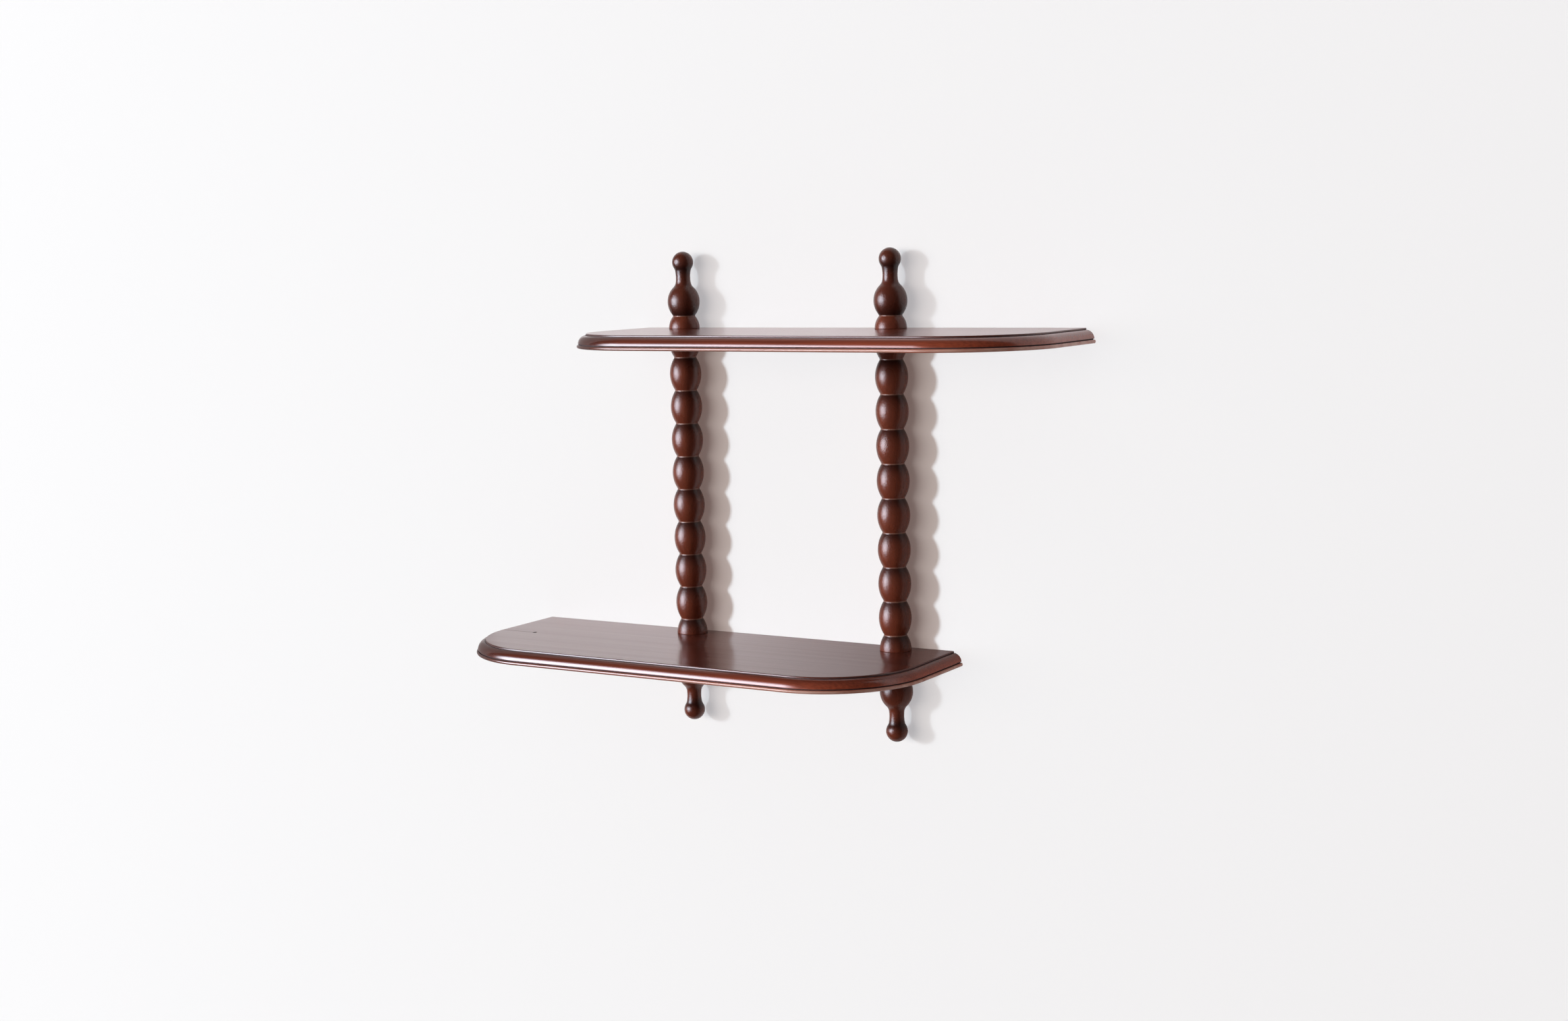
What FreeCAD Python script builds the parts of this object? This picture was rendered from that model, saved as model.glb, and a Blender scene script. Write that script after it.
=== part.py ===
import FreeCAD, Part
import math
import os
import re
import Sketcher

# Two-tier staggered wall shelf: two moulded boards carried by a pair of turned bobbin posts.
# Frame: X along the wall, Y into the wall (the wall face is Y = 0), Z up.
# The origin lies on the wall face, midway between the round entries of the two keyhole hangers.

# Driving sizes in millimetres: name, value, what it measures
SIZES = [
    ("board_length", 600.0, "length of each board over its moulding"),
    ("board_depth", 216.0, "depth of each board from the wall over its moulding"),
    ("board_thickness", 17.0, "thickness of each board"),
    ("corner_radius", 116.0, "plan radius of the front corners, at the bead"),
    ("edge_projection", 11.0, "how far the moulding stands out beyond the top face"),
    ("edge_band", 8.0, "how far the moulded strip runs in under the top face"),
    ("edge_round", 1.0, "rounding of the top face's edge"),
    ("fillet_height", 2.2, "height of the square fillet under the top face"),
    ("fillet_step", 1.2, "flat quirk between the fillet and the ovolo"),
    ("ovolo_bulge", 2.2, "how far the ovolo swells beyond its chord"),
    ("lip_inset", 1.5, "how far the ovolo's lower lip stays behind the bead"),
    ("groove_depth", 1.2, "depth of the groove between ovolo and bead"),
    ("groove_width", 1.2, "height of that groove"),
    ("bead_height", 4.0, "height of the bead along the bottom edge"),
    ("bead_nose", 1.2, "how far the bead's nose swells"),
    ("post_spacing", 282.0, "distance between the two post axes"),
    ("post_setback", 21.0, "distance of the post axes from the wall"),
    ("short_overhang", 76.0, "post axis to the near end of a board"),
    ("bobbin_count", 8.0, "whole bobbins on a post between the boards"),
    ("bobbin_pitch", 40.0, "length of one bobbin"),
    ("bobbin_diameter", 38.0, "largest diameter of a bobbin"),
    ("waist_diameter", 26.0, "diameter at the sharp waist between two bobbins"),
    ("waist_fillet", 0.8, "small hollow left by the tool in the waists of posts and finials"),
    ("collar_height", 18.0, "height of the half bobbin at each end of a post"),
    ("collar_diameter", 37.2, "diameter where a post or finial meets a board"),
    ("finial_height", 92.0, "height of a finial from its board to the tip of its ball"),
    ("finial_collar_height", 15.0, "height of the finial's half bobbin"),
    ("bulb_diameter", 38.8, "largest diameter of the finial's bulb"),
    ("bulb_height", 32.0, "height of the bulb's widest place above the board"),
    ("neck_height", 51.5, "height of the crease between bulb and neck"),
    ("neck_foot_diameter", 19.2, "diameter of the neck at that crease"),
    ("shoulder_fillet", 8.0, "hollow that eases the bulb into the neck"),
    ("neck_sink", 1.0, "how far the neck draws in between crease and ball"),
    ("neck_head_diameter", 19.4, "diameter of the neck where it meets the ball"),
    ("throat_fillet", 5.0, "hollow that eases the neck into the ball"),
    ("ball_diameter", 25.5, "diameter of the ball"),
    ("stud_diameter", 8.0, "diameter of a joining stud"),
    ("stud_chamfer", 0.8, "chamfer on a stud's ends"),
    ("stud_grip_post", 30.0, "length of a stud inside the post"),
    ("stud_grip_finial", 16.0, "length of a stud inside the finial's insert"),
    ("stud_clearance", 0.15, "gap round a stud in the post and in its insert"),
    ("stud_hole_clearance", 0.3, "gap round a stud in its board"),
    ("bore_end_gap", 1.0, "depth of a bore beyond the end of its stud"),
    ("insert_diameter", 12.0, "outside diameter of a finial's threaded insert"),
    ("insert_length", 18.0, "length of that insert"),
    ("insert_clearance", 0.1, "gap round an insert in its finial"),
    ("hanger_inset", 31.0, "distance of a keyhole hanger from its post's axis, towards the middle"),
    ("plate_length", 38.0, "length of a hanger plate"),
    ("plate_height", 14.0, "height of a hanger plate"),
    ("plate_thickness", 1.6, "thickness of a hanger plate"),
    ("plate_corner", 3.0, "corner radius of a hanger plate"),
    ("plate_clearance", 0.2, "gap round a hanger plate in its recess"),
    ("keyhole_diameter", 6.6, "round entry of the keyhole"),
    ("keyhole_slot", 3.6, "width of the keyhole's slot"),
    ("keyhole_rise", 5.0, "height of the slot's end centre above the entry's centre"),
    ("keyhole_drop", 2.5, "height of the plate's centre above the entry's centre"),
    ("pocket_width", 9.0, "width of the pocket for the wall screw's head"),
    ("pocket_height", 12.2, "height of that pocket"),
    ("pocket_depth", 7.0, "depth of that pocket behind the plate"),
    ("screw_spacing", 26.0, "distance between a hanger plate's two screws"),
    ("screw_diameter", 3.0, "shank diameter of a hanger screw"),
    ("screw_head_diameter", 5.6, "head diameter of a hanger screw"),
    ("screw_head_height", 1.4, "height of a hanger screw's cone"),
    ("screw_length", 14.0, "length of a hanger screw"),
    ("screw_point", 3.0, "length of a hanger screw's point"),
    ("screw_slot_width", 0.9, "width of the driving slot in a hanger screw's head"),
    ("screw_slot_depth", 0.6, "depth of that slot"),
    ("screw_clearance", 0.1, "gap round a hanger screw in plate and board"),
]
ALIASES = {name for name, value, note in SIZES}

# Derived sizes, as expressions of the driving ones
LONG_OVERHANG = "(board_length - post_spacing - short_overhang)"
POST_LENGTH = "(bobbin_count * bobbin_pitch + 2 * collar_height)"
STUD_LENGTH = "(stud_grip_post + board_thickness + stud_grip_finial)"
TOP_SHELF_UNDERSIDE = "(keyhole_drop - board_thickness / 2)"
TOP_SHELF_TOP = "(keyhole_drop + board_thickness / 2)"
BOTTOM_SHELF_TOP = f"({TOP_SHELF_UNDERSIDE} - {POST_LENGTH})"
BOTTOM_SHELF_UNDERSIDE = f"({BOTTOM_SHELF_TOP} - board_thickness)"
POST_X = {"left": "(0 - post_spacing / 2)", "right": "(post_spacing / 2)"}
HANGER_X = "(post_spacing / 2 - hanger_inset)"

doc = FreeCAD.newDocument("wall_shelf")
sheet = doc.addObject("Spreadsheet::Sheet", "Sizes")
for row, (name, value, note) in enumerate(SIZES, start=1):
    sheet.set(f"A{row}", name)
    sheet.set(f"B{row}", str(value))
    sheet.setAlias(f"B{row}", name)
    sheet.set(f"C{row}", note)
doc.recompute()


def bound(text):
    """Point every size name in an expression at its cell of the sheet."""
    return re.sub(r"[a-z_]+", lambda word: "Sizes." + word[0] if word[0] in ALIASES else word[0], text)


def number(text):
    """The present value of an expression."""
    return float(sheet.evalExpression(bound(text)))


def new_body(name):
    body = doc.addObject("PartDesign::Body", name)
    body.Label = name
    return body


def new_sketch(body, plane, name):
    """An empty sketch on one of the body's own origin planes."""
    sketch = body.newObject("Sketcher::SketchObject", f"{body.Name}_{name}")
    support = [item for item in body.Origin.OriginFeatures if item.Role == plane][0]
    sketch.AttachmentSupport = [(support, "")]
    sketch.MapMode = "FlatFace"
    return sketch


def hold(sketch, kind, text, *where):
    """Add one dimension and bind it to an expression."""
    index = sketch.addConstraint(Sketcher.Constraint(kind, *where, number(text)))
    sketch.setExpression(f"Constraints[{index}]", bound(text))


def pin(sketch, geometry, point, across, up):
    """Fix a point of the sketch at two expressions, measured from the sketch's origin."""
    for kind, text, axis in (("DistanceX", across, -2), ("DistanceY", up, -1)):
        if text == "0":
            sketch.addConstraint(Sketcher.Constraint("PointOnObject", geometry, point, axis))
        else:
            hold(sketch, kind, text, geometry, point)


def trace(sketch, corners, closed=True):
    """Draw an outline. A corner is (across, up), or (across, up, radius, side) for an arc to the next one.

    side is 1 where the arc swells to the left of the way of travel and -1 where it swells to the right.
    """
    spots = [FreeCAD.Vector(number(corner[0]), number(corner[1]), 0) for corner in corners]
    count = len(corners) if closed else len(corners) - 1
    ends = []
    for index in range(count):
        start = spots[index]
        end = spots[(index + 1) % len(corners)]
        if len(corners[index]) == 2:
            geometry = sketch.addGeometry(Part.LineSegment(start, end), False)
            ends.append((geometry, 1, 2))
            continue
        radius = number(corners[index][2])
        side = corners[index][3]
        chord = end - start
        left = FreeCAD.Vector(-chord.y, chord.x, 0).normalize()
        reach = math.sqrt(max(radius ** 2 - (chord.Length / 2) ** 2, 0.0))
        centre = (start + end) * 0.5 - left * (side * reach)
        first, last = (end, start) if side > 0 else (start, end)
        angles = [math.atan2(spot.y - centre.y, spot.x - centre.x) for spot in (first, last)]
        circle = Part.Circle(centre, FreeCAD.Vector(0, 0, 1), radius)
        geometry = sketch.addGeometry(Part.ArcOfCircle(circle, angles[0], angles[1]), False)
        ends.append((geometry, 2, 1) if side > 0 else (geometry, 1, 2))
    for index, (geometry, start_point, end_point) in enumerate(ends):
        if closed or index + 1 < count:
            after = ends[(index + 1) % count]
            sketch.addConstraint(Sketcher.Constraint("Coincident", geometry, end_point, after[0], after[1]))
        pin(sketch, geometry, start_point, corners[index][0], corners[index][1])
        if len(corners[index]) > 2:
            hold(sketch, "Radius", corners[index][2], geometry)
    if not closed:
        pin(sketch, ends[-1][0], ends[-1][2], corners[-1][0], corners[-1][1])


def ring(sketch, across, up, diameter):
    """Draw a circle."""
    centre = FreeCAD.Vector(number(across), number(up), 0)
    circle = Part.Circle(centre, FreeCAD.Vector(0, 0, 1), number(diameter) / 2)
    geometry = sketch.addGeometry(circle, False)
    pin(sketch, geometry, 3, across, up)
    hold(sketch, "Diameter", diameter, geometry)


def turned(body, corners):
    """A solid of revolution about Z, from half of its section."""
    section = new_sketch(body, "XZ_Plane", "section")
    trace(section, corners)
    feature = body.newObject("PartDesign::Revolution", f"{body.Name}_turned")
    feature.Profile = section
    feature.ReferenceAxis = (section, ["V_Axis"])
    feature.Angle = 360


def eased(body, radius, creases):
    """Round the creases of a turned piece, each given by its radius and its height."""
    doc.recompute()
    solid = body.Tip
    spots = [(number(across), number(up)) for across, up in creases]
    names = []
    for index, edge in enumerate(solid.Shape.Edges):
        if edge.Degenerated or not isinstance(edge.Curve, Part.Circle):
            continue
        for across, up in spots:
            if abs(edge.Curve.Radius - across) < SAME_SPOT and abs(edge.Curve.Center.z - up) < SAME_SPOT:
                names.append(f"Edge{index + 1}")
    feature = body.newObject("PartDesign::Fillet", f"{body.Name}_{radius}")
    feature.Base = (solid, names)
    feature.setExpression("Radius", bound(radius))


def padded(body, sketch, depth, name):
    feature = body.newObject("PartDesign::Pad", f"{body.Name}_{name}")
    feature.Profile = sketch
    feature.setExpression("Length", bound(depth))


def pocketed(body, sketch, depth, name):
    """A recess from the sketch's plane into the body; it has to take wood away."""
    before = body.Shape.Volume
    feature = body.newObject("PartDesign::Pocket", f"{body.Name}_{name}")
    feature.Profile = sketch
    feature.setExpression("Length", bound(depth))
    doc.recompute()
    if body.Shape.Volume >= before:
        raise RuntimeError(f"{feature.Name} cuts nothing")


def placed(thing, across, out, up):
    """Bind the place of a sub-part, with its own turn left as it is."""
    for axis, text in (("x", across), ("y", out), ("z", up)):
        thing.setExpression(f"Placement.Base.{axis}", bound(text))


SAME_SPOT = 0.001
HALF_TURN = FreeCAD.Rotation(FreeCAD.Vector(0, 0, 1), 180)
UPSIDE_DOWN = FreeCAD.Rotation(FreeCAD.Vector(1, 0, 0), 180)
TOWARDS_FRONT = FreeCAD.Rotation(FreeCAD.Vector(1, 0, 0), 90)


def board_plan(inset):
    """The board's plan from wall to wall round its front, drawn in from the bead's nose by inset."""
    round_front = f"(corner_radius - {inset})"
    return [
        (inset, "0"),
        (inset, "board_depth - corner_radius", round_front, 1),
        ("corner_radius", f"board_depth - {inset}"),
        ("board_length - corner_radius", f"board_depth - {inset}", round_front, 1),
        (f"board_length - {inset}", "board_depth - corner_radius"),
        (f"board_length - {inset}", "0"),
    ]


def arc_radius(across, up, bulge):
    """Radius of an arc over a chord of these two legs that swells by bulge."""
    return f"((({across}) ^ 2 + ({up}) ^ 2) / 4 + ({bulge}) ^ 2) / (2 * ({bulge}))"


def swell_radius(along, across):
    """Radius of an arc that starts parallel to a line and moves by across over the distance along."""
    return f"((({along}) ^ 2 + ({across}) ^ 2) / (2 * ({across})))"


def edge_section():
    """The moulding's section: fillet, quirk, ovolo, groove and bead, with the strip behind them."""
    lip_height = "(bead_height + groove_width)"
    ovolo = arc_radius("edge_projection - fillet_step - lip_inset",
                       f"board_thickness - fillet_height - {lip_height}", "ovolo_bulge")
    bead = arc_radius("bead_height", "0", "bead_nose")
    return [
        ("edge_projection + edge_band", "board_thickness"),
        ("edge_projection + edge_round", "board_thickness", "edge_round", -1),
        ("edge_projection", "board_thickness - edge_round"),
        ("edge_projection", "board_thickness - fillet_height"),
        ("edge_projection - fillet_step", "board_thickness - fillet_height", ovolo, -1),
        ("lip_inset", lip_height),
        ("lip_inset + groove_depth", lip_height),
        ("lip_inset + groove_depth", "bead_height"),
        ("bead_nose", "bead_height", bead, -1),
        ("bead_nose", "0"),
        ("edge_projection + edge_band", "0"),
    ]


def make_board(name, first_post, underside):
    """A board, drawn along X from its right-hand end and out from the wall along Y, then turned round."""
    body = new_body(name)
    plan = new_sketch(body, "XY_Plane", "plan")
    trace(plan, board_plan("(edge_projection + edge_band / 2)"))
    for post in (first_post, f"{first_post} + post_spacing"):
        ring(plan, post, "post_setback", "stud_diameter + 2 * stud_hole_clearance")
    padded(body, plan, "board_thickness", "panel")
    route = new_sketch(body, "XY_Plane", "route")
    trace(route, board_plan("edge_projection"), closed=False)
    section = new_sketch(body, "XZ_Plane", "edge")
    trace(section, edge_section())
    doc.recompute()
    moulding = body.newObject("PartDesign::AdditivePipe", f"{name}_moulding")
    moulding.Profile = section
    moulding.Spine = (route, [f"Edge{index + 1}" for index in range(route.GeometryCount)])
    body.Placement = FreeCAD.Placement(FreeCAD.Vector(), HALF_TURN)
    placed(body, f"post_spacing / 2 + {first_post}", "0", underside)
    doc.recompute()
    return body


def box_outline(middle, level, width, height, corner):
    """A rectangle with rounded corners about a middle point."""
    left = f"{middle} - ({width}) / 2"
    right = f"{middle} + ({width}) / 2"
    low = f"{level} - ({height}) / 2"
    high = f"{level} + ({height}) / 2"
    return [
        (f"{left} + {corner}", low),
        (f"{right} - {corner}", low, corner, -1),
        (right, f"{low} + {corner}"),
        (right, f"{high} - {corner}", corner, -1),
        (f"{right} - {corner}", high),
        (f"{left} + {corner}", high, corner, -1),
        (left, f"{high} - {corner}"),
        (left, f"{low} + {corner}", corner, -1),
    ]


def cut_hanger_seats(body):
    """Recesses in the top board's back edge: the plate's seat, the wall screw's pocket, the pilot holes."""
    right_end = f"(post_spacing / 2 + {LONG_OVERHANG})"
    middles = [f"({right_end} - {HANGER_X})", f"({right_end} + {HANGER_X})"]
    level = "board_thickness / 2"
    seats = new_sketch(body, "XZ_Plane", "plate_seats")
    pockets = new_sketch(body, "XZ_Plane", "head_pockets")
    pilots = new_sketch(body, "XZ_Plane", "pilot_holes")
    for middle in middles:
        seat = ("plate_length + 2 * plate_clearance", "plate_height + 2 * plate_clearance")
        trace(seats, box_outline(middle, level, *seat, "(plate_corner + plate_clearance)"))
        trace(pockets, box_outline(middle, level, "pocket_width", "pocket_height", "plate_corner"))
        for way in ("-", "+"):
            ring(pilots, f"{middle} {way} screw_spacing / 2", level, "screw_diameter + 2 * screw_clearance")
    doc.recompute()
    pocketed(body, seats, "plate_thickness", "plate_recess")
    pocketed(body, pockets, "plate_thickness + pocket_depth", "head_recess")
    pocketed(body, pilots, "screw_length + bore_end_gap", "pilots")


def bobbin_radius():
    return arc_radius("bobbin_pitch", "0", "(bobbin_diameter - waist_diameter) / 2")


def make_post(name, side):
    """A turned post: half bobbin, whole bobbins, half bobbin, with a bore for a stud in each end."""
    bore_radius = "(stud_diameter / 2 + stud_clearance)"
    bore_depth = "(stud_grip_post + bore_end_gap)"
    collar = swell_radius("collar_height", "(collar_diameter - waist_diameter) / 2")
    outline = [
        ("0", bore_depth),
        (bore_radius, bore_depth),
        (bore_radius, "0"),
        ("collar_diameter / 2", "0", collar, -1),
    ]
    for index in range(int(number("bobbin_count"))):
        outline.append(("waist_diameter / 2", f"collar_height + {index} * bobbin_pitch", bobbin_radius(), -1))
    outline += [
        ("waist_diameter / 2", "collar_height + bobbin_count * bobbin_pitch", collar, -1),
        ("collar_diameter / 2", POST_LENGTH),
        (bore_radius, POST_LENGTH),
        (bore_radius, f"{POST_LENGTH} - {bore_depth}"),
        ("0", f"{POST_LENGTH} - {bore_depth}"),
    ]
    body = new_body(name)
    turned(body, outline)
    eased(body, "waist_fillet", [corner[:2] for corner in outline if corner[0] == "waist_diameter / 2"])
    placed(body, POST_X[side], "0 - post_setback", BOTTOM_SHELF_TOP)
    return body


def make_finial(name, side, upright):
    """A turned finial: half bobbin, bulb, neck and ball, bored for its insert."""
    bore_radius = "(insert_diameter / 2 + insert_clearance)"
    bore_depth = "(insert_length + insert_clearance)"
    ball_seat = ("(finial_height - ball_diameter / 2"
                 " - sqrt(ball_diameter ^ 2 - neck_head_diameter ^ 2) / 2)")
    collar = swell_radius("finial_collar_height", "(collar_diameter - waist_diameter) / 2")
    bulb_low = swell_radius("bulb_height - finial_collar_height", "(bulb_diameter - waist_diameter) / 2")
    bulb_high = swell_radius("neck_height - bulb_height", "(bulb_diameter - neck_foot_diameter) / 2")
    neck_flare = "(neck_head_diameter - neck_foot_diameter) / 2"
    neck = arc_radius(f"{ball_seat} - neck_height", neck_flare, "neck_sink")
    body = new_body(name)
    turned(body, [
        ("0", bore_depth),
        (bore_radius, bore_depth),
        (bore_radius, "0"),
        ("collar_diameter / 2", "0", collar, -1),
        ("waist_diameter / 2", "finial_collar_height", bulb_low, -1),
        ("bulb_diameter / 2", "bulb_height", bulb_high, -1),
        ("neck_foot_diameter / 2", "neck_height", neck, 1),
        ("neck_head_diameter / 2", ball_seat, "ball_diameter / 2", -1),
        ("0", "finial_height"),
    ])
    eased(body, "waist_fillet", [("waist_diameter / 2", "finial_collar_height")])
    eased(body, "shoulder_fillet", [("neck_foot_diameter / 2", "neck_height")])
    eased(body, "throat_fillet", [("neck_head_diameter / 2", ball_seat)])
    if not upright:
        body.Placement = FreeCAD.Placement(FreeCAD.Vector(), UPSIDE_DOWN)
    placed(body, POST_X[side], "0 - post_setback", TOP_SHELF_TOP if upright else BOTTOM_SHELF_UNDERSIDE)
    return body


def make_stud(name, side, foot):
    """A joining stud: from the post's bore through a board into the finial's insert."""
    body = new_body(name)
    turned(body, [
        ("0", "0"),
        ("stud_diameter / 2 - stud_chamfer", "0"),
        ("stud_diameter / 2", "stud_chamfer"),
        ("stud_diameter / 2", f"{STUD_LENGTH} - stud_chamfer"),
        ("stud_diameter / 2 - stud_chamfer", STUD_LENGTH),
        ("0", STUD_LENGTH),
    ])
    placed(body, POST_X[side], "0 - post_setback", foot)
    return body


def make_insert(name, side, foot):
    """A threaded insert, flush with the foot of its finial."""
    inner = "(stud_diameter / 2 + stud_clearance)"
    body = new_body(name)
    turned(body, [
        (inner, "0"),
        ("insert_diameter / 2", "0"),
        ("insert_diameter / 2", "insert_length"),
        (inner, "insert_length"),
    ])
    placed(body, POST_X[side], "0 - post_setback", foot)
    return body


def keyhole_outline(middle, entry):
    """The round entry with its slot above, for the head and the neck of a wall screw."""
    slot = "keyhole_slot / 2"
    mouth = f"{entry} + sqrt(keyhole_diameter ^ 2 - keyhole_slot ^ 2) / 2"
    end = f"{entry} + keyhole_rise"
    return [
        (f"{middle} - {slot}", mouth),
        (f"{middle} - {slot}", end, slot, 1),
        (middle, f"{end} + {slot}", slot, 1),
        (f"{middle} + {slot}", end),
        (f"{middle} + {slot}", mouth, "keyhole_diameter / 2", 1),
        (middle, f"{entry} - keyhole_diameter / 2", "keyhole_diameter / 2", 1),
    ]


def make_hanger_plate(name, sign):
    """A keyhole plate, flush in the board's back edge, with two countersunk screw holes."""
    middle = "plate_length / 2"
    level = "plate_height / 2"
    body = new_body(name)
    face = new_sketch(body, "XZ_Plane", "face")
    trace(face, box_outline(middle, level, "plate_length", "plate_height", "plate_corner"))
    trace(face, keyhole_outline(middle, f"({level} - keyhole_drop)"))
    for way in ("-", "+"):
        ring(face, f"{middle} {way} screw_spacing / 2", level, "screw_diameter + 2 * screw_clearance")
    padded(body, face, "plate_thickness", "sheet")
    doc.recompute()
    for index, way in enumerate(("-", "+")):
        sink = body.newObject("PartDesign::SubtractiveCone", f"{name}_sink_{index + 1}")
        sink.setExpression("Radius1", bound("screw_head_diameter / 2 + screw_clearance"))
        sink.setExpression("Radius2", bound("screw_diameter / 2 + screw_clearance"))
        sink.setExpression("Height", bound("screw_head_height"))
        sink.Placement = FreeCAD.Placement(FreeCAD.Vector(), TOWARDS_FRONT)
        placed(sink, f"{middle} {way} screw_spacing / 2", "0", level)
    placed(body, f"0 {sign} {HANGER_X} - plate_length / 2", "0", "keyhole_drop - plate_height / 2")
    doc.recompute()
    return body


def make_hanger_screw(name, across):
    """A slotted countersunk screw, its head flush with the plate, driven in from the wall side."""
    body = new_body(name)
    turned(body, [
        ("0", "0"),
        ("screw_head_diameter / 2", "0"),
        ("screw_diameter / 2", "screw_head_height"),
        ("screw_diameter / 2", "screw_length - screw_point"),
        ("0", "screw_length"),
    ])
    doc.recompute()
    slot = body.newObject("PartDesign::SubtractiveBox", f"{name}_slot")
    slot.setExpression("Length", bound("screw_head_diameter"))
    slot.setExpression("Width", bound("screw_slot_width"))
    slot.setExpression("Height", bound("screw_slot_depth"))
    placed(slot, "0 - screw_head_diameter / 2", "0 - screw_slot_width / 2", "0")
    body.Placement = FreeCAD.Placement(FreeCAD.Vector(), TOWARDS_FRONT)
    placed(body, across, "0", "keyhole_drop")
    return body


def grouped(name, members):
    """Identical small pieces, kept together under one name."""
    group = doc.addObject("Part::Compound", name)
    group.Label = name
    group.Links = members
    return group


# Boards: the same board twice, drilled the other way round for the stagger
top_shelf = make_board("top_shelf", LONG_OVERHANG, TOP_SHELF_UNDERSIDE)
cut_hanger_seats(top_shelf)
bottom_shelf = make_board("bottom_shelf", "short_overhang", BOTTOM_SHELF_UNDERSIDE)
subparts = [top_shelf, bottom_shelf]

# Posts, finials and the hardware that joins them through the boards
studs = []
inserts = []
for side in POST_X:
    subparts.append(make_post(f"{side}_post", side))
    subparts.append(make_finial(f"{side}_top_finial", side, True))
    subparts.append(make_finial(f"{side}_bottom_finial", side, False))
    studs.append(make_stud(f"{side}_top_stud", side, f"{TOP_SHELF_UNDERSIDE} - stud_grip_post"))
    studs.append(make_stud(f"{side}_bottom_stud", side, f"{BOTTOM_SHELF_UNDERSIDE} - stud_grip_finial"))
    inserts.append(make_insert(f"{side}_top_insert", side, TOP_SHELF_TOP))
    inserts.append(make_insert(f"{side}_bottom_insert", side, f"{BOTTOM_SHELF_UNDERSIDE} - insert_length"))
subparts.append(grouped("joining_studs", studs))
subparts.append(grouped("finial_inserts", inserts))

# Keyhole hangers in the top board's back edge
screws = []
for side, sign in (("left", "-"), ("right", "+")):
    subparts.append(make_hanger_plate(f"{side}_hanger_plate", sign))
    for end, way in (("outer", sign), ("inner", "-" if sign == "+" else "+")):
        across = f"0 {sign} {HANGER_X} {way} screw_spacing / 2"
        screws.append(make_hanger_screw(f"{side}_{end}_screw", across))
subparts.append(grouped("hanger_screws", screws))
doc.recompute()

# Nothing is written unless every feature and every sub-part came out sound
for item in doc.Objects:
    if "Invalid" in item.State or "Error" in item.State:
        raise RuntimeError(f"{item.Name} failed: {item.State}")
for item in subparts:
    if item.Shape.isNull() or not item.Shape.isValid():
        raise RuntimeError(f"{item.Label} has no sound shape")

os.makedirs("parts", exist_ok=True)
for item in subparts:
    item.Shape.exportStep(f"parts/{item.Label}.step")
    box = item.Shape.optimalBoundingBox()
    spans = f"{box.XLength:.1f} x {box.YLength:.1f} x {box.ZLength:.1f} mm"
    print(f"{item.Label}: {len(item.Shape.Solids)} solids, {spans}, {item.Shape.Volume:.0f} mm3")
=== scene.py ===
# %% [markdown]
# # A staggered wall shelf on bobbin posts
#
# Two moulded boards hang on a pair of turned posts, the upper one reaching right and the lower one left.
# All the wood is stained dark red-brown and lacquered, so much of what the eye sees is reflected wall and
# window. The CAD solids give the places, and the sizes here repeat theirs. The hardware keeps its solids,
# and each wooden piece gets a finer mesh in the same place, with softened edges and closer facets.

# %% Load the CAD frame
import math
from typing import NamedTuple

import bmesh
import bpy
from mathutils import Matrix, Vector


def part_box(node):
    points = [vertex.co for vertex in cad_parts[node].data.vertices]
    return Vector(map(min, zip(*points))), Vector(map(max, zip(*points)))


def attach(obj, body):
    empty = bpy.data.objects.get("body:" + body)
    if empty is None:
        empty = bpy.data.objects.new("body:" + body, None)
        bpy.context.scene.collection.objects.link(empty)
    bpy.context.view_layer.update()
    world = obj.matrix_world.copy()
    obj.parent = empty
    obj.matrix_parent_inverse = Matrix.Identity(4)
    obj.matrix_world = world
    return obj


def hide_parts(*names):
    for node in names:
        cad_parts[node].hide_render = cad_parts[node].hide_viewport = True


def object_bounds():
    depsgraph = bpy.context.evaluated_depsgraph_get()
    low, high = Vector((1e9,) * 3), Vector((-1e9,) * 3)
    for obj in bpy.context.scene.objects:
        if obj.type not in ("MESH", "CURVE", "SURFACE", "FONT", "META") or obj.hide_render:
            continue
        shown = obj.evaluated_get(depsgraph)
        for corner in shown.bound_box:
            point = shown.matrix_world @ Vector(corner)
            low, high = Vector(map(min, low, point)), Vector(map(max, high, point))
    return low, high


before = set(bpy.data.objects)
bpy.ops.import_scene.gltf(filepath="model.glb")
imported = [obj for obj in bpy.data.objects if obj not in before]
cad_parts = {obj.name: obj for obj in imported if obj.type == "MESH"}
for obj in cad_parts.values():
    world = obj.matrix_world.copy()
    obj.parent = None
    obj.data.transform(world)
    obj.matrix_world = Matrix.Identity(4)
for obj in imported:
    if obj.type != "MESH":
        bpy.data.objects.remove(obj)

MM = 0.001
cad_low, cad_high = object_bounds()
scene = bpy.context.scene
print("nodes:", ", ".join(sorted(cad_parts)))
print("size in mm:", [round(side / MM) for side in cad_high - cad_low])

# %% [markdown]
# ## Outlines
#
# A moulding cutter and a turner's gouge both follow a flat outline of straight lines and arcs. Blender's
# Bezier curves could draw it by hand, but here each corner is written down: where it is, how the line
# bows on its way to the next corner, and how far the corner is eased. Lacquered wood has no sharp corner,
# and the thin bright line along an edge or down in a crease comes from that easing.

# %% Corners and arcs
FLATNESS = 0.02
FEWEST_FACETS = 3
# an outline has the wood on its left, so an arc that bows to the right swells and one to the left sinks in
SWELL, SINK = -1, 1


class Corner(NamedTuple):
    """A corner in mm: its place, its easing, and the radius and bow of the arc that leaves it, if any."""

    across: float
    up: float
    ease: float = 0
    radius: float = 0
    bow: int = 0


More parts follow.
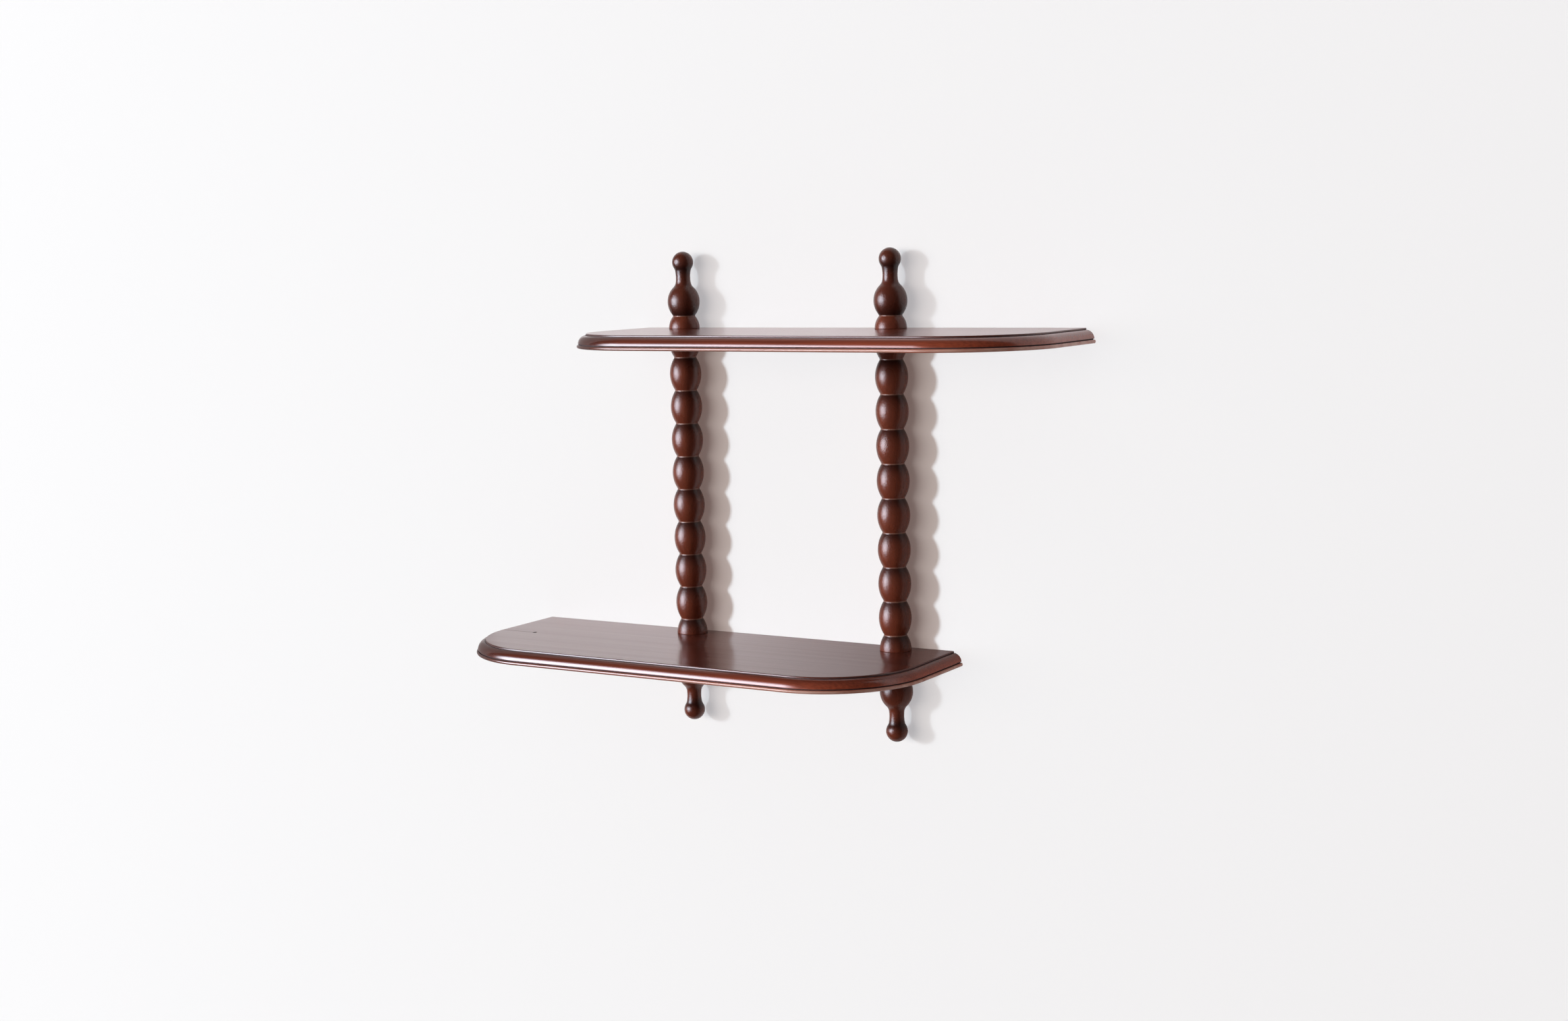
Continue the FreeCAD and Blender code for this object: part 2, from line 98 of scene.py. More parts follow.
def arc(start, end, radius, bow):
    """Points on an arc, so close that its facets stay within FLATNESS (in mm) of it."""
    chord = end - start
    left = Vector((-chord.y, chord.x)).normalized()
    half_angle = math.asin(min(1, chord.length / 2 / radius))
    centre = (start + end) / 2 - bow * radius * math.cos(half_angle) * left
    count = max(FEWEST_FACETS, math.ceil(half_angle / math.acos(1 - FLATNESS / radius)))
    turn = -2 * bow * half_angle / count
    return [centre + Matrix.Rotation(turn * index, 2) @ (start - centre) for index in range(count + 1)]


def bowed_radius(chord, rise):
    """The radius of an arc that rises by so much over a chord."""
    return (chord ** 2 / 4 + rise ** 2) / (2 * rise)


print("a 40 mm bobbin that rises 6 mm has a radius of", round(bowed_radius(40, 6), 1), "mm")

# %% Draw a line through corners
EASE_STEPS = 6


def cut_back(points, distance):
    """The line without a first stretch of that length."""
    rest = list(points)
    while distance > (rest[1] - rest[0]).length:
        distance -= (rest[1] - rest[0]).length
        rest.pop(0)
    rest[0] = rest[0] + (rest[1] - rest[0]).normalized() * distance
    return rest


def outline(corners):
    """One line through the corners, with a smooth bend at each eased one."""
    line = []
    for here, there in zip(corners, corners[1:]):
        start, end = Vector(here[:2]), Vector(there[:2])
        run = arc(start, end, here.radius, here.bow) if here.bow else [start, end]
        run = cut_back(run, here.ease)
        run = cut_back(run[::-1], there.ease)[::-1]
        if here.ease:
            for step in range(1, EASE_STEPS):
                part = step / EASE_STEPS
                line.append(line_end.lerp(start, part).lerp(start.lerp(run[0], part), part))
        line += run if here.ease or not line else run[1:]
        line_end = line[-1]
    return line


eased = outline([Corner(0, 0), Corner(9, 0, ease=2), Corner(9, 9)])
print("a line round one eased corner has", len(eased), "points")

# %% [markdown]
# ## Adding nodes
#
# Materials and shapes are both node trees. One function adds a node, sets its properties, and fills its
# sockets: a socket of another node is linked, anything else is set as a value. Colours are written as on
# a paint chart, in hex, and turned to the linear values that Blender mixes in.

# %% Node and colour helpers
# a Mix node has several sockets called A, B and Result; these are the numbers of those for colours
SHARE, UNDER, OVER, MIXED = 0, 6, 7, 2


def add(tree, kind, inputs=None, **settings):
    """Adds one node; inputs maps a socket's name or number to a value or to another node's output."""
    node = tree.nodes.new(kind)
    for name, value in settings.items():
        setattr(node, name, value)
    for key, value in (inputs or {}).items():
        if isinstance(value, bpy.types.NodeSocket):
            tree.links.new(value, node.inputs[key])
        else:
            node.inputs[key].default_value = value
    return node


def linear(hex_colour):
    """A hex colour as linear red, green, blue and alpha."""
    parts = [int(hex_colour[start:start + 2], 16) / 255 for start in (1, 3, 5)]
    return [part / 12.92 if part <= 0.04045 else ((part + 0.055) / 1.055) ** 2.4 for part in parts] + [1]


def empty_material(name):
    """A material whose node tree is still empty, and that tree."""
    material = bpy.data.materials.new(name)
    material.use_nodes = True
    material.node_tree.nodes.clear()
    return material, material.node_tree


def new_material(name):
    """A material with its node tree and a Principled shader wired to the output."""
    material, tree = empty_material(name)
    shader = add(tree, "ShaderNodeBsdfPrincipled")
    add(tree, "ShaderNodeOutputMaterial", {"Surface": shader.outputs["BSDF"]})
    return material, tree, shader


print("mid grey #808080 is", round(linear("#808080")[0], 3), "linear")

# %% [markdown]
# ## Stained and lacquered mahogany
#
# The wood is stained so dark that the grain shows only as slow changes of red-brown and as fine darker
# streaks, drawn out along the board or along the post. Creases are painted nearly black as shade, and
# their lacquer is dull. The moulded edge is painted redder toward its lip and darker toward a board's left
# end, and on the bead's nose the finish is rubbed through in flecks, whose pale colour also stands in for a
# painted highlight. Over the stain lies a sprayed lacquer, with the slight waviness called orange peel that
# breaks a highlight into specks. The boards are polished further and mirror the wall at a low angle.
#
# An image of wood would repeat; noise on Object coordinates runs through the piece as real grain does. Where
# a crease with its painted shade, an edge, or a pale line of wear and painted highlight is, the mesh says so
# by an attribute of its own.

# %% Grain patterns
# widths in mm; real pores are about 0.2 mm wide and wouldn't show, so the streaks are drawn coarser
FIGURE_WIDTH = 14
STREAK_WIDTH = 2
RIPPLE_WIDTH = 16
PEEL_WIDTH = 1.3
FLECK_WIDTH = 0.8


def wood_patterns(tree, along):
    """Noise for each pattern of the wood, by name; along squeezes coordinates in the grain's direction."""
    place = add(tree, "ShaderNodeTexCoord")
    in_mm = add(tree, "ShaderNodeVectorMath", {0: place.outputs["Object"], 1: [1 / MM] * 3},
                operation="MULTIPLY")
    grain = add(tree, "ShaderNodeMapping", {"Vector": in_mm.outputs["Vector"], "Scale": along})
    plans = {"figure": (grain, FIGURE_WIDTH, 3), "streak": (grain, STREAK_WIDTH, 3),
             "ripple": (grain, RIPPLE_WIDTH, 1), "peel": (in_mm, PEEL_WIDTH, 2),
             "fleck": (in_mm, FLECK_WIDTH, 2)}
    patterns = {}
    for label, (where, width, detail) in plans.items():
        noise = add(tree, "ShaderNodeTexNoise", {"Vector": where.outputs["Vector"], "Scale": 1 / width,
                                                 "Detail": detail})
        patterns[label] = noise.outputs["Fac"]
    return patterns


print("the figure is", FIGURE_WIDTH, "mm wide and a streak", STREAK_WIDTH, "mm")

# %% Colour of the stained wood
STREAK_LIMITS = (0.35, 0.6)
DARK_STREAK = "#2c120c"
# painted shade for creases and cut walls
CREASE_SHADE = "#240d09"
RED_EDGE = "#9c482d"
# a darker tone toward a board's left end and on the upper finials
DARKER_TONE = "#361710"
# pale wear, whose colour also stands in for a painted highlight on the bead and in the waists
BARE_WOOD_AND_GLEAM = "#c09884"


def stained_colour(tree, patterns, marks, wear_and_gleam, tones, streaks):
    """Starts from the darker tone; each layer then covers a share of what lies under it."""
    streak = add(tree, "ShaderNodeMapRange",
                 {"Value": patterns["streak"], "From Min": STREAK_LIMITS[0], "From Max": STREAK_LIMITS[1],
                  "To Min": streaks, "To Max": 0})
    # the crease layer is painted shade, and the pale wear layer is partly a painted highlight
    layers = ((patterns["figure"], tones[1]), (marks["edge"], RED_EDGE),
              (streak.outputs["Result"], DARK_STREAK), (wear_and_gleam, BARE_WOOD_AND_GLEAM),
              (marks["deep"], DARKER_TONE), (marks["hollow"], CREASE_SHADE))
    colour = linear(tones[0])
    for share, hex_colour in layers:
        layer = add(tree, "ShaderNodeMix", {SHARE: share, UNDER: colour, OVER: linear(hex_colour)},
                    data_type="RGBA")
        colour = layer.outputs[MIXED]
    return colour


print("the red edge is", [round(part, 3) for part in linear(RED_EDGE)], "linear")

# %% Mahogany under lacquer
# what a wooden mesh may say about its faces; where it says nothing, the mark is 0
# the crease mark paints shade, and the wear mark is partly a painted highlight
MARKS = ("hollow", "wear_and_highlight", "edge", "deep")
LACQUER_IOR = 1.5
WEAR_GLEAM_LIMITS = (0.35, 0.65)
LEAST_WEAR_GLEAM = 0.4
RUB_DULLNESS = 0.3
FLECK_HEIGHT = 0.12
GLOSS_DRIFT = 0.2
TONED_LACQUER = "#ffdadc"
POLISH_ROUGHNESS = 0.14


def mahogany(name, along, tones, streaks, roughness, dull_creases, peel, ripple, mirror, polish):
    """Stained and lacquered wood; peel and ripple are depths in mm, polish is the share of a second gloss."""
    material, tree, shader = new_material(name)
    patterns = wood_patterns(tree, along)
    marks = {label: add(tree, "ShaderNodeAttribute", attribute_name=label).outputs["Fac"] for label in MARKS}

    # the pale wear, which is also a painted highlight, comes and goes along the edge
    patch = add(tree, "ShaderNodeMapRange",
                {"Value": patterns["figure"], "From Min": WEAR_GLEAM_LIMITS[0], "From Max": WEAR_GLEAM_LIMITS[1],
                 "To Min": LEAST_WEAR_GLEAM})
    gleam_patch = add(tree, "ShaderNodeMath", {0: marks["wear_and_highlight"], 1: patch.outputs["Result"]}, operation="MULTIPLY")
    wear_and_gleam = gleam_patch.outputs["Value"]
    colour = stained_colour(tree, patterns, marks, wear_and_gleam, tones, streaks)
    tree.links.new(colour, shader.inputs["Base Color"])

    # orange peel, the board's slow ripple and the flecks of bare wood, one over the other
    below = {}
    for label, depth, strength in (("peel", peel, 1), ("ripple", ripple, 1), ("fleck", FLECK_HEIGHT, wear_and_gleam)):
        bump = add(tree, "ShaderNodeBump", {"Height": patterns[label], "Distance": depth * MM,
                                            "Strength": strength, **below})
        below = {"Normal": bump.outputs["Normal"]}
    for socket in ("Normal", "Coat Normal"):
        tree.links.new(bump.outputs["Normal"], shader.inputs[socket])

    # the gloss drifts with the figure, and the pale wear and the creases are dull
    gloss = add(tree, "ShaderNodeMapRange",
                {"Value": patterns["figure"], "To Min": (1 - GLOSS_DRIFT) * roughness,
                 "To Max": (1 + GLOSS_DRIFT) * roughness})
    for spot, dullness in ((wear_and_gleam, RUB_DULLNESS), (marks["hollow"], dull_creases)):
        gloss = add(tree, "ShaderNodeMath", {0: spot, 1: dullness, 2: gloss.outputs[0]},
                    operation="MULTIPLY_ADD")
    tree.links.new(gloss.outputs["Value"], shader.inputs["Roughness"])
    polished = add(tree, "ShaderNodeMapRange", {"Value": marks["hollow"], "To Min": polish, "To Max": 0})
    tree.links.new(polished.outputs["Result"], shader.inputs["Coat Weight"])
    shader.inputs["IOR"].default_value = LACQUER_IOR
    shader.inputs["Specular IOR Level"].default_value = mirror
    shader.inputs["Coat Roughness"].default_value = POLISH_ROUGHNESS
    shader.inputs["Coat Tint"].default_value = linear(TONED_LACQUER)
    return material


print("mahogany reads the marks", ", ".join(MARKS))

# %% The two kinds of mahogany
BOARD_STRETCH = 40
TURNED_STRETCH = 30
# a board is a dark, slightly rippled mirror, whose grain shows where nothing bright is mirrored
board_wood = mahogany("lacquered_mahogany_board", along=(1 / BOARD_STRETCH, 1, 1),
                      tones=("#43201a", "#6a3628"), streaks=0.3, roughness=0.2, dull_creases=0.6,
                      peel=0.008, ripple=0.25, mirror=0.5, polish=0.3)
# a turned piece is warmer and satin: one soft, faintly broken highlight runs down each bobbin
turned_wood = mahogany("lacquered_mahogany_turned", along=(1, 1, 1 / TURNED_STRETCH),
                       tones=("#51231a", "#7c3a24"), streaks=0.1, roughness=0.26, dull_creases=0.05,
                       peel=0.2, ripple=0.02, mirror=0.33, polish=0.05)
print("made", board_wood.name, "and", turned_wood.name)

# %% [markdown]
# ## A tree that sweeps a section along a route
#
# The moulded edge is cut by running one shaped cutter round the board, so its natural model is one section
# carried along one route. Curve to Mesh does that, with the curve's normals held upright so that the
# section never tilts. A lathe does the same thing with a circle for a route, so the posts and finials use
# a second tree that draws the circle itself and welds the points that meet on the axis.

# %% Sweep and lathe trees


def new_tree(name, inputs):
    """A geometry tree with named inputs and one output, and the node that its inputs come from."""
    tree = bpy.data.node_groups.new(name, "GeometryNodeTree")
    for label, kind in inputs.items():
        tree.interface.new_socket(label, in_out="INPUT", socket_type=kind)
    tree.interface.new_socket("Mesh", in_out="OUTPUT", socket_type="NodeSocketGeometry")
    return tree, add(tree, "NodeGroupInput")


def finish_sweep(tree, sizes, route):
    """Carries the section along the route and ends the tree in a painted mesh."""
    upright = add(tree, "GeometryNodeSetCurveNormal", {"Curve": route}, mode="Z_UP")
    section = add(tree, "GeometryNodeObjectInfo", {"Object": sizes.outputs["Section"]})
    skin = add(tree, "GeometryNodeCurveToMesh", {"Curve": upright.outputs["Curve"],
                                                 "Profile Curve": section.outputs["Geometry"]})
    welded = add(tree, "GeometryNodeMergeByDistance", {"Geometry": skin.outputs["Mesh"],
                                                       "Distance": sizes.outputs["Weld"]})
    smooth = add(tree, "GeometryNodeSetShadeSmooth", {"Geometry": welded.outputs["Geometry"]})
    real = add(tree, "GeometryNodeRealizeInstances", {"Geometry": smooth.outputs["Geometry"]})
    painted = add(tree, "GeometryNodeSetMaterial", {"Geometry": real.outputs["Geometry"],
                                                    "Material": sizes.outputs["Finish"]})
    add(tree, "NodeGroupOutput", {"Mesh": painted.outputs["Geometry"]})


sweep_inputs = {"Section": "NodeSocketObject", "Weld": "NodeSocketFloat", "Finish": "NodeSocketMaterial"}
moulder, sizes = new_tree("Moulded edge", {"Route": "NodeSocketGeometry", **sweep_inputs})
finish_sweep(moulder, sizes, sizes.outputs["Route"])

lathe, sizes = new_tree("Lathe", {"Stock": "NodeSocketGeometry", **sweep_inputs, "Axis": "NodeSocketVector",
                                  "Route radius": "NodeSocketFloat", "Facets": "NodeSocketInt"})
circle = add(lathe, "GeometryNodeCurvePrimitiveCircle", {"Resolution": sizes.outputs["Facets"],
                                                         "Radius": sizes.outputs["Route radius"]})
centred = add(lathe, "GeometryNodeTransform", {"Geometry": circle.outputs["Curve"],
                                               "Translation": sizes.outputs["Axis"]})
finish_sweep(lathe, sizes, centred.outputs["Geometry"])
print("trees:", moulder.name, len(moulder.nodes), "nodes,", lathe.name, len(lathe.nodes), "nodes")

# %% [markdown]
# ## From a tree to a finished piece
#
# A tree is run for each piece and its result kept as a plain mesh, so that holes can be cut and marks
# written. A mark is a number at each corner of a face, such as how deep in a crease that corner lies; being
# kept for each face apart, it stops at the border of a flat panel, where a value for each point would bleed
# in. The finished piece then takes the place of the CAD node it stands for.

# %% Objects in the scene


def new_object(name, data):
    """An object in the scene that shows the data."""
    thing = bpy.data.objects.new(name, data)
    scene.collection.objects.link(thing)
    return thing


def line_object(name, points):
    """A curve of straight bits through flat or solid points, in metres."""
    curve = bpy.data.curves.new(name, "CURVE")
    curve.dimensions = "3D"
    spline = curve.splines.new("POLY")
    spline.points.add(len(points) - 1)
    for point, target in zip(points, spline.points):
        target.co = (*Vector(point).to_3d(), 1)
    return new_object(name, curve)


def clear_away(*helpers):
    """Removes lines and cutters that have done their work."""
    for helper in helpers:
        bpy.data.objects.remove(helper)


# %% Run a tree and keep the plain mesh
WELD = 0.001 * MM


def plain_mesh(thing):
    """What the modifiers of an object make, as a mesh of its own."""
    view = bpy.context.evaluated_depsgraph_get()
    return bpy.data.meshes.new_from_object(thing.evaluated_get(view), depsgraph=view)


def run_tree(tree, carrier, **inputs):
    """Gives the carrier the tree, sets its inputs by identifier, and returns the plain mesh it makes."""
    modifier = carrier.modifiers.new(tree.name, "NODES")
    modifier.node_group = tree
    for item in tree.interface.items_tree:
        key = item.name.replace(" ", "_").lower()
        if item.in_out == "INPUT" and key in inputs:
            modifier[item.identifier] = inputs[key]
    mesh = plain_mesh(carrier)
    carrier.modifiers.remove(modifier)
    return mesh


print("a tree welds points that are within", WELD / MM, "mm")

# %% Marks that a material can read
# a sweep makes faces of four corners, or of three on a lathe's axis, and a flat fill has more
SWEPT_CORNERS = 4


def mark(mesh, name, point_values):
    """Keeps a number at each corner of the swept faces, for a material to read; flat fills keep 0."""
    values = []
    for face in mesh.polygons:
        swept = len(face.vertices) <= SWEPT_CORNERS
        values += [point_values[point] if swept else 0 for point in face.vertices]
    layer = mesh.attributes.new(name, "FLOAT", "CORNER")
    layer.data.foreach_set("value", values)


def nearness(point, spots, above, below):
    """1 at the nearest spot, fading like a bell over a reach in mm above it and another one below it."""
    near = min(spots, key=lambda spot: (point - spot).length)
    reach = above if point.y > near.y else below
    return math.exp(-((point - near).length / reach) ** 2)


half_way = nearness(Vector((0, 1)), [Vector((0, 0))], 2, 2)
print("half its reach away from a crease, a mark is down to", round(half_way, 2))

# %% Finish a wooden piece
DOUBLES = 0.005 * MM
SHARP_ANGLE = math.radians(50)
pieces = {}


def wooden(name, mesh, material):
    """Makes the finished piece that stands for the CAD node of that name, and keeps it under that name."""
    shaper = bmesh.new()
    shaper.from_mesh(mesh)
    bmesh.ops.remove_doubles(shaper, verts=shaper.verts, dist=DOUBLES)
    bmesh.ops.recalc_face_normals(shaper, faces=shaper.faces)
    loose = sum(not edge.is_manifold for edge in shaper.edges)
    shaper.to_mesh(mesh)
    shaper.free()
    mesh.materials.clear()
    mesh.materials.append(material)
    mesh.set_sharp_from_angle(angle=SHARP_ANGLE)
    piece = new_object(name + "_wood", mesh)
    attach(piece, "root")
    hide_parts(name)
    low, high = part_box(name)
    # the first corner of a bounding box is its lowest and the seventh its highest
    own_box = (*piece.bound_box[0], *piece.bound_box[6])
    gap = max(abs(own - solid) for own, solid in zip(own_box, (*low, *high)))
    print(f"{piece.name}: {len(mesh.polygons)} faces, {loose} open edges,",
          f"{gap / MM:.2f} mm off the solid's box")
    pieces[name] = piece


print("edges of more than", round(math.degrees(SHARP_ANGLE)), "degrees stay sharp")

# %% [markdown]
# ## The moulded boards
#
# Each board is a flat panel with a moulded front and ends: a small fillet at the top, a swelling ovolo,
# a groove and a bead at the bottom. The section hangs down from a route along the bead's nose. After the
# sweep the top, the underside and the back edge are single faces between the sweep's first and last rows.
# Marks for painted crease shade, for wear that is also a painted highlight, and for redness follow the
# section. Toward a board's left end wear and redness fade, and a darker tone takes their place.

# %% Section and route of a board
BOARD_THICKNESS = 17
CORNER_RADIUS = 116
EDGE_PROJECTION = 11
FLAT_MARGIN = 4
FILLET_HEIGHT = 2.2
FILLET_STEP = 1.2
OVOLO_BULGE = 2.2
LIP_INSET = 1.5
LIP_DROP = 11.8
GROOVE_DEPTH = 1.2
BEAD_HEIGHT = 4
BEAD_NOSE = 1.2
TOP_EASE = 1.1
CREASE_EASE = 0.25
LIP_EASE = 0.4
ovolo_chord = math.hypot(EDGE_PROJECTION - FILLET_STEP - LIP_INSET, LIP_DROP - FILLET_HEIGHT)
bead_top = BOARD_THICKNESS - BEAD_HEIGHT

edge_section = outline([
    Corner(-EDGE_PROJECTION - FLAT_MARGIN, 0),
    Corner(-EDGE_PROJECTION, 0, TOP_EASE),
    Corner(-EDGE_PROJECTION, FILLET_HEIGHT, CREASE_EASE),
    Corner(FILLET_STEP - EDGE_PROJECTION, FILLET_HEIGHT, CREASE_EASE,
           bowed_radius(ovolo_chord, OVOLO_BULGE), SWELL),
    Corner(-LIP_INSET, LIP_DROP, LIP_EASE),
    Corner(-LIP_INSET - GROOVE_DEPTH, LIP_DROP, CREASE_EASE),
    Corner(-LIP_INSET - GROOVE_DEPTH, bead_top, CREASE_EASE),
    Corner(-BEAD_NOSE, bead_top, CREASE_EASE, bowed_radius(BEAD_HEIGHT, BEAD_NOSE), SWELL),
    Corner(-BEAD_NOSE, BOARD_THICKNESS, LIP_EASE),
    Corner(-EDGE_PROJECTION - FLAT_MARGIN, BOARD_THICKNESS),
])


def board_route(low, high):
    """The bead's nose line at the level of the top face, from the left wall end round to the right one."""
    left, right, front, wall = (value / MM for value in (low.x, high.x, low.y, high.y))
    line = outline([
        Corner(left, wall),
        Corner(left, front + CORNER_RADIUS, 0, CORNER_RADIUS, SWELL),
        Corner(left + CORNER_RADIUS, front),
        Corner(right - CORNER_RADIUS, front, 0, CORNER_RADIUS, SWELL),
        Corner(right, front + CORNER_RADIUS),
        Corner(right, wall),
    ])
    return [(point.x * MM, point.y * MM, high.z) for point in line]


print(len(edge_section), "points in the section,", len(board_route(*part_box("top_shelf"))), "on the route")

# %% Painted shade, wear with painted highlight, and redness of the edge
HOLLOW_REACH = 0.9
WEAR_GLEAM_REACH = 1.8
FLAT_SKIN = 0.3
END_FADE = 190
edge_hollows = [Vector((-EDGE_PROJECTION, FILLET_HEIGHT)), Vector((-LIP_INSET - GROOVE_DEPTH, LIP_DROP)),
                Vector((-LIP_INSET - GROOVE_DEPTH, bead_top))]
bead_nose = Vector((0, BOARD_THICKNESS - BEAD_HEIGHT / 2))


def redness(point):
    """0 on the flat faces; on the moulding it grows from the fillet down to the lip."""
    flat = min(point.y, BOARD_THICKNESS - point.y) < FLAT_SKIN
    return 0 if flat else min(1, point.y / LIP_DROP)


def red_share(distance):
    """0 at a board's left end, rising smoothly to 1 where the end's darkness has faded, END_FADE mm away."""
    share = min(1, distance / END_FADE)
    return share ** 2 * (3 - 2 * share)


# painted shade in the creases of the moulding
painted_shade = [nearness(point, edge_hollows, HOLLOW_REACH, HOLLOW_REACH) for point in edge_section]
# the bead's pale wear, whose colour also stands in for a painted highlight
bead_wear_gleam = [nearness(point, [bead_nose], WEAR_GLEAM_REACH, WEAR_GLEAM_REACH) for point in edge_section]
red = [redness(point) for point in edge_section]
print("points on the moulding itself:", sum(value > 0 for value in red), "of", len(red))

# %% Sweep the edge and close the board


def board_mesh(name):
    """The moulded edge with its top, underside and back edge filled in."""
    route = line_object("route", board_route(*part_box(name)))
    section = line_object("section", [point * MM for point in edge_section])
    mesh = run_tree(moulder, route, section=section, weld=WELD, finish=board_wood)
    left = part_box(name)[0].x
    shares = [red_share((point.co.x - left) / MM) for point in route.data.splines[0].points]
    rows, columns = len(shares), len(edge_section)
    clear_away(route, section)
    shaper = bmesh.new()
    shaper.from_mesh(mesh)
    shaper.verts.ensure_lookup_table()
    grid = [shaper.verts[row * columns:(row + 1) * columns] for row in range(rows)]
    shaper.faces.new([row[0] for row in grid])
    shaper.faces.new([row[-1] for row in grid][::-1])
    shaper.faces.new(grid[0][::-1] + grid[-1])
    shaper.to_mesh(mesh)
    shaper.free()
    mark(mesh, "hollow", painted_shade * rows)
    mark(mesh, "wear_and_highlight", [share * value for share in shares for value in bead_wear_gleam])
    mark(mesh, "edge", [share * value for share in shares for value in red])
    mark(mesh, "deep", [(1 - share) * (value > 0) for share in shares for value in red])
    return mesh


blanks = {name: board_mesh(name) for name in ("top_shelf", "bottom_shelf")}
print("faces of the boards before drilling:", {name: len(mesh.polygons) for name, mesh in blanks.items()})

# %% [markdown]
# ## Holes and hanger seats
#
# A steel stud passes through each board at each post, and two keyhole plates are let into the upper
# board's back edge, with a pocket for the wall screw's head and two pilot holes behind each plate. All of
# them are prisms with rounded corners, a drill's circle being the roundest, so one cutter shape serves, and
# exact Booleans take the cutters out of the board. The lower board has a small open knot near its left end
# and a fine crack in the grain beside it, a flaw of this one board: two more cutters. Cut walls count as
# creases, so painted shade makes them dark, the open knot as well.

# %% A cutter and its cut
CORNER_STEPS = 8
CUTTER_DOUBLES = 0.01
OVERSHOOT = 2


def cutter(shape, depth, place):
    """A prism of that width, height and corner radius that goes so deep along its own Z axis."""
    width, height, radius = shape
    across, up = width / 2 - radius, height / 2 - radius
    ring = []
    for quarter, middle in enumerate(((across, up), (-across, up), (-across, -up), (across, -up))):
        for step in range(CORNER_STEPS + 1):
            angle = (quarter + step / CORNER_STEPS) * math.pi / 2
            ring.append((middle[0] + radius * math.cos(angle), middle[1] + radius * math.sin(angle)))
    shaper = bmesh.new()
    base = shaper.faces.new([shaper.verts.new((*point, -OVERSHOOT)) for point in ring])
    raised = bmesh.ops.extrude_face_region(shaper, geom=[base])["geom"]
    bmesh.ops.translate(shaper, verts=[item for item in raised if isinstance(item, bmesh.types.BMVert)],
                        vec=(0, 0, depth + OVERSHOOT))
    bmesh.ops.remove_doubles(shaper, verts=shaper.verts, dist=CUTTER_DOUBLES)
    bmesh.ops.recalc_face_normals(shaper, faces=shaper.faces)
    bmesh.ops.transform(shaper, matrix=place @ Matrix.Scale(MM, 4), verts=shaper.verts)
    mesh = bpy.data.meshes.new("cutter")
    shaper.to_mesh(mesh)
    shaper.free()
    # cut walls get the painted crease shade
    mark(mesh, "hollow", [1] * len(mesh.vertices))
    return new_object("cutter", mesh)


def cut(mesh, tools):
    """The mesh with every tool taken out of it."""
    blank = new_object("blank", mesh)
    for tool in tools:
        modifier = blank.modifiers.new("cut", "BOOLEAN")
        modifier.operation = "DIFFERENCE"
        modifier.solver = "EXACT"
        modifier.object = tool
    result = plain_mesh(blank)
    clear_away(blank, *tools)
    return result


print("a cutter's corner has", CORNER_STEPS, "facets")

# %% Drill the boards and let in the hangers
STUD_HOLE = (8.6, 8.6, 4.3)
PLATE_SEAT = (38.4, 14.4, 3.2)
PLATE_SEAT_DEPTH = 1.6
HEAD_POCKET = (9, 12.2, 3)
HEAD_POCKET_DEPTH = 8.6
PILOT_HOLE = (3.2, 3.2, 1.6)
PILOT_HOLE_DEPTH = 15
SCREW_SPREAD = 13


def stud_cutters(board):
    """A drill at each post, right through the board."""
    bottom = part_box(board)[0].z
    tools = []
    for side in ("left", "right"):
        middle = sum(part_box(side + "_post"), Vector()) / 2
        place = Matrix.Translation((middle.x, middle.y, bottom))
        tools.append(cutter(STUD_HOLE, BOARD_THICKNESS + OVERSHOOT, place))
    return tools


def hanger_cutters():
    """The seat, the pocket and the pilot holes of each keyhole plate, cut in from the wall side."""
    into_board = Matrix.Rotation(math.pi / 2, 4, "X")
    tools = []
    for side in ("left", "right"):
        middle = sum(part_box(side + "_hanger_plate"), Vector()) / 2
        place = Matrix.Translation((middle.x, 0, middle.z)) @ into_board
        tools.append(cutter(PLATE_SEAT, PLATE_SEAT_DEPTH, place))
        tools.append(cutter(HEAD_POCKET, HEAD_POCKET_DEPTH, place))
        for offset in (-SCREW_SPREAD, SCREW_SPREAD):
            aside = Matrix.Translation((offset * MM, 0, 0))
            tools.append(cutter(PILOT_HOLE, PILOT_HOLE_DEPTH, place @ aside))
    return tools


wooden("top_shelf", cut(blanks["top_shelf"], stud_cutters("top_shelf") + hanger_cutters()), board_wood)

# %% Knot and crack
KNOT = (4.4, 6.4, 2.2)
KNOT_DEPTH = 1.5
KNOT_PLACE = (-321.4, -102.3)
CRACK = (46, 0.8, 0.4)
CRACK_DEPTH = 0.6
CRACK_PLACE = (-345.5, -102.6)


def knot_cutters():
    """The open pin knot near the left end of the lower board, and the fine crack in the grain beside it."""
    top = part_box("bottom_shelf")[1].z
    tools = []
    for shape, depth, (across, back) in ((KNOT, KNOT_DEPTH, KNOT_PLACE), (CRACK, CRACK_DEPTH, CRACK_PLACE)):
        place = Matrix.Translation((across * MM, back * MM, top)) @ Matrix.Rotation(math.pi, 4, "X")
        tools.append(cutter(shape, depth, place))
    return tools


wooden("bottom_shelf", cut(blanks["bottom_shelf"], stud_cutters("bottom_shelf") + knot_cutters()),
       board_wood)

# %% [markdown]
# ## The turned posts and finials
#
# A post is eight bobbins between two half bobbins, and each finial is a half bobbin, a bulb, a neck and a
# ball. The lathe tree turns half an outline round the piece's axis. The waists between bobbins are eased
# a little: that hollow catches the window in a thin bright line, and a pale line is painted in it as a
# highlight as well. Each waist gets painted shade, and the shoulder of the next bobbin below it is painted
# darker, so that its belly looks warmer. The upper finials are painted a darker tone than the posts, and
# all finials get painted shade where bulb meets waist and ball meets neck.

